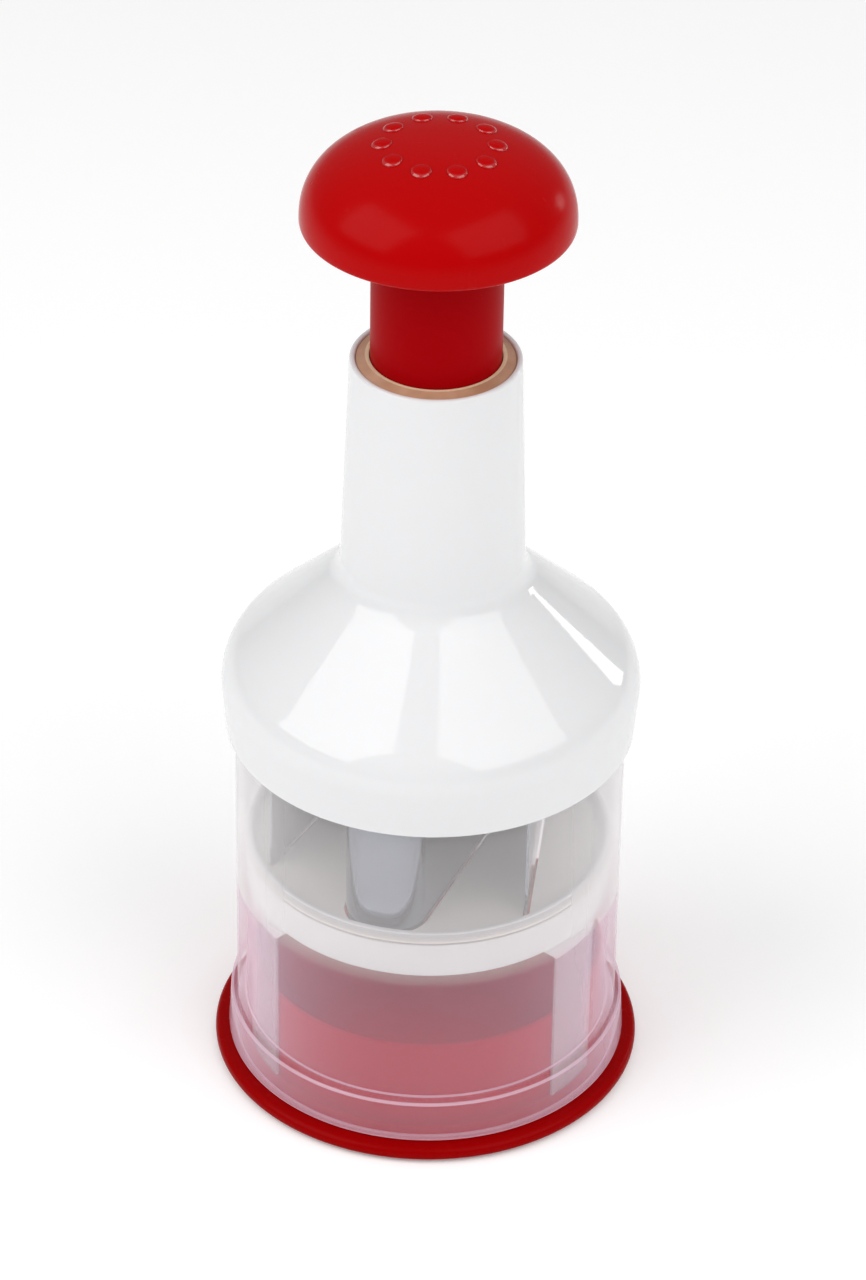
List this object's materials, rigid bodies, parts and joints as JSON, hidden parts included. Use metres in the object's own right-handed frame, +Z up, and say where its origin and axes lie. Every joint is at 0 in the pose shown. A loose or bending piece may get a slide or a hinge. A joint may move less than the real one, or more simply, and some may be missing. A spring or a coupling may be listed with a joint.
{
  "type": "push-down food chopper",
  "caption": "Hand food chopper: a knob pushes a zigzag steel blade down through a scraper disc into a clear cup, and a spring lifts it again.",
  "frame": {"origin": "centre of the anti-slip ring's underside, on the table and on the chopper's axis", "axes": "+Z up along the plunger's axis; -Y is the side seen from the front"},
  "size_m": [0.098, 0.098, 0.2358],
  "materials": {
    "red_plastic": "glossy moulded plastic",
    "deep_red_plastic": "glossy moulded plastic, a little darker",
    "white_plastic": "glossy moulded plastic",
    "cage_plastic": "translucent white moulded plastic",
    "clear_plastic": "clear polished plastic",
    "disc_plastic": "clear plastic with a slight haze",
    "bush_plastic": "satin translucent tan plastic",
    "grey_plastic": "satin",
    "soft_rubber": "matt",
    "polished_steel": "polished stainless steel",
    "plated_steel": "zinc plated",
    "spring_steel": "drawn wire"
  },
  "bodies": {
    "base": {"base_cap": "red_plastic", "anti_slip_ring": "soft_rubber"},
    "cup": {"chopping_cup": "clear_plastic", "scraper_cage": "cage_plastic"},
    "disc": {"scraper_disc": "disc_plastic"},
    "housing": {"bell_housing": "white_plastic", "neck_bush": "bush_plastic", "drive_plate": "grey_plastic", "plate_screw_1": "plated_steel", "plate_screw_2": "plated_steel", "plate_screw_3": "plated_steel", "index_nut": "grey_plastic", "click_washer": "plated_steel", "spring_seat": "grey_plastic", "stop_washer": "soft_rubber", "return_spring": "spring_steel"},
    "plunger": {"push_knob": "red_plastic", "plunger_tube": "deep_red_plastic", "knob_bumper": "soft_rubber", "upper_spring_washer": "plated_steel"},
    "blade_set": {"chopping_blade": "polished_steel", "blade_carrier": "white_plastic", "blade_screw": "plated_steel", "spindle": "plated_steel", "spindle_washer": "plated_steel", "spindle_screw": "plated_steel"}
  },
  "joints": [
    {"name": "cup_lift", "type": "slide", "parent": "base", "child": "cup", "axis": [0, 0, 1], "range_m": [0, 0.05]},
    {"name": "disc_turn", "type": "hinge", "parent": "cup", "child": "disc", "pos_m": [0, 0, 0.058], "axis": [0, 0, 1], "range_deg": [-20, 0]},
    {"name": "housing_lift", "type": "slide", "parent": "cup", "child": "housing", "axis": [0, 0, 1], "range_m": [0, 0.05]},
    {"name": "plunger_slide", "type": "slide", "parent": "housing", "child": "plunger", "axis": [0, 0, -1], "range_m": [0, 0.036], "stiffness_N_per_m": 600, "springref_m": -0.01, "deforming": ["return_spring"]},
    {"name": "blade_turn", "type": "hinge", "parent": "plunger", "child": "blade_set", "pos_m": [0, 0, 0.2], "axis": [0, 0, 1], "range_deg": [-20, 0]}
  ],
  "couplings": [
    {"joint": "blade_turn", "follows": "plunger_slide", "rad_per_m": -9.696},
    {"joint": "disc_turn", "follows": "plunger_slide", "rad_per_m": -9.696}
  ]
}
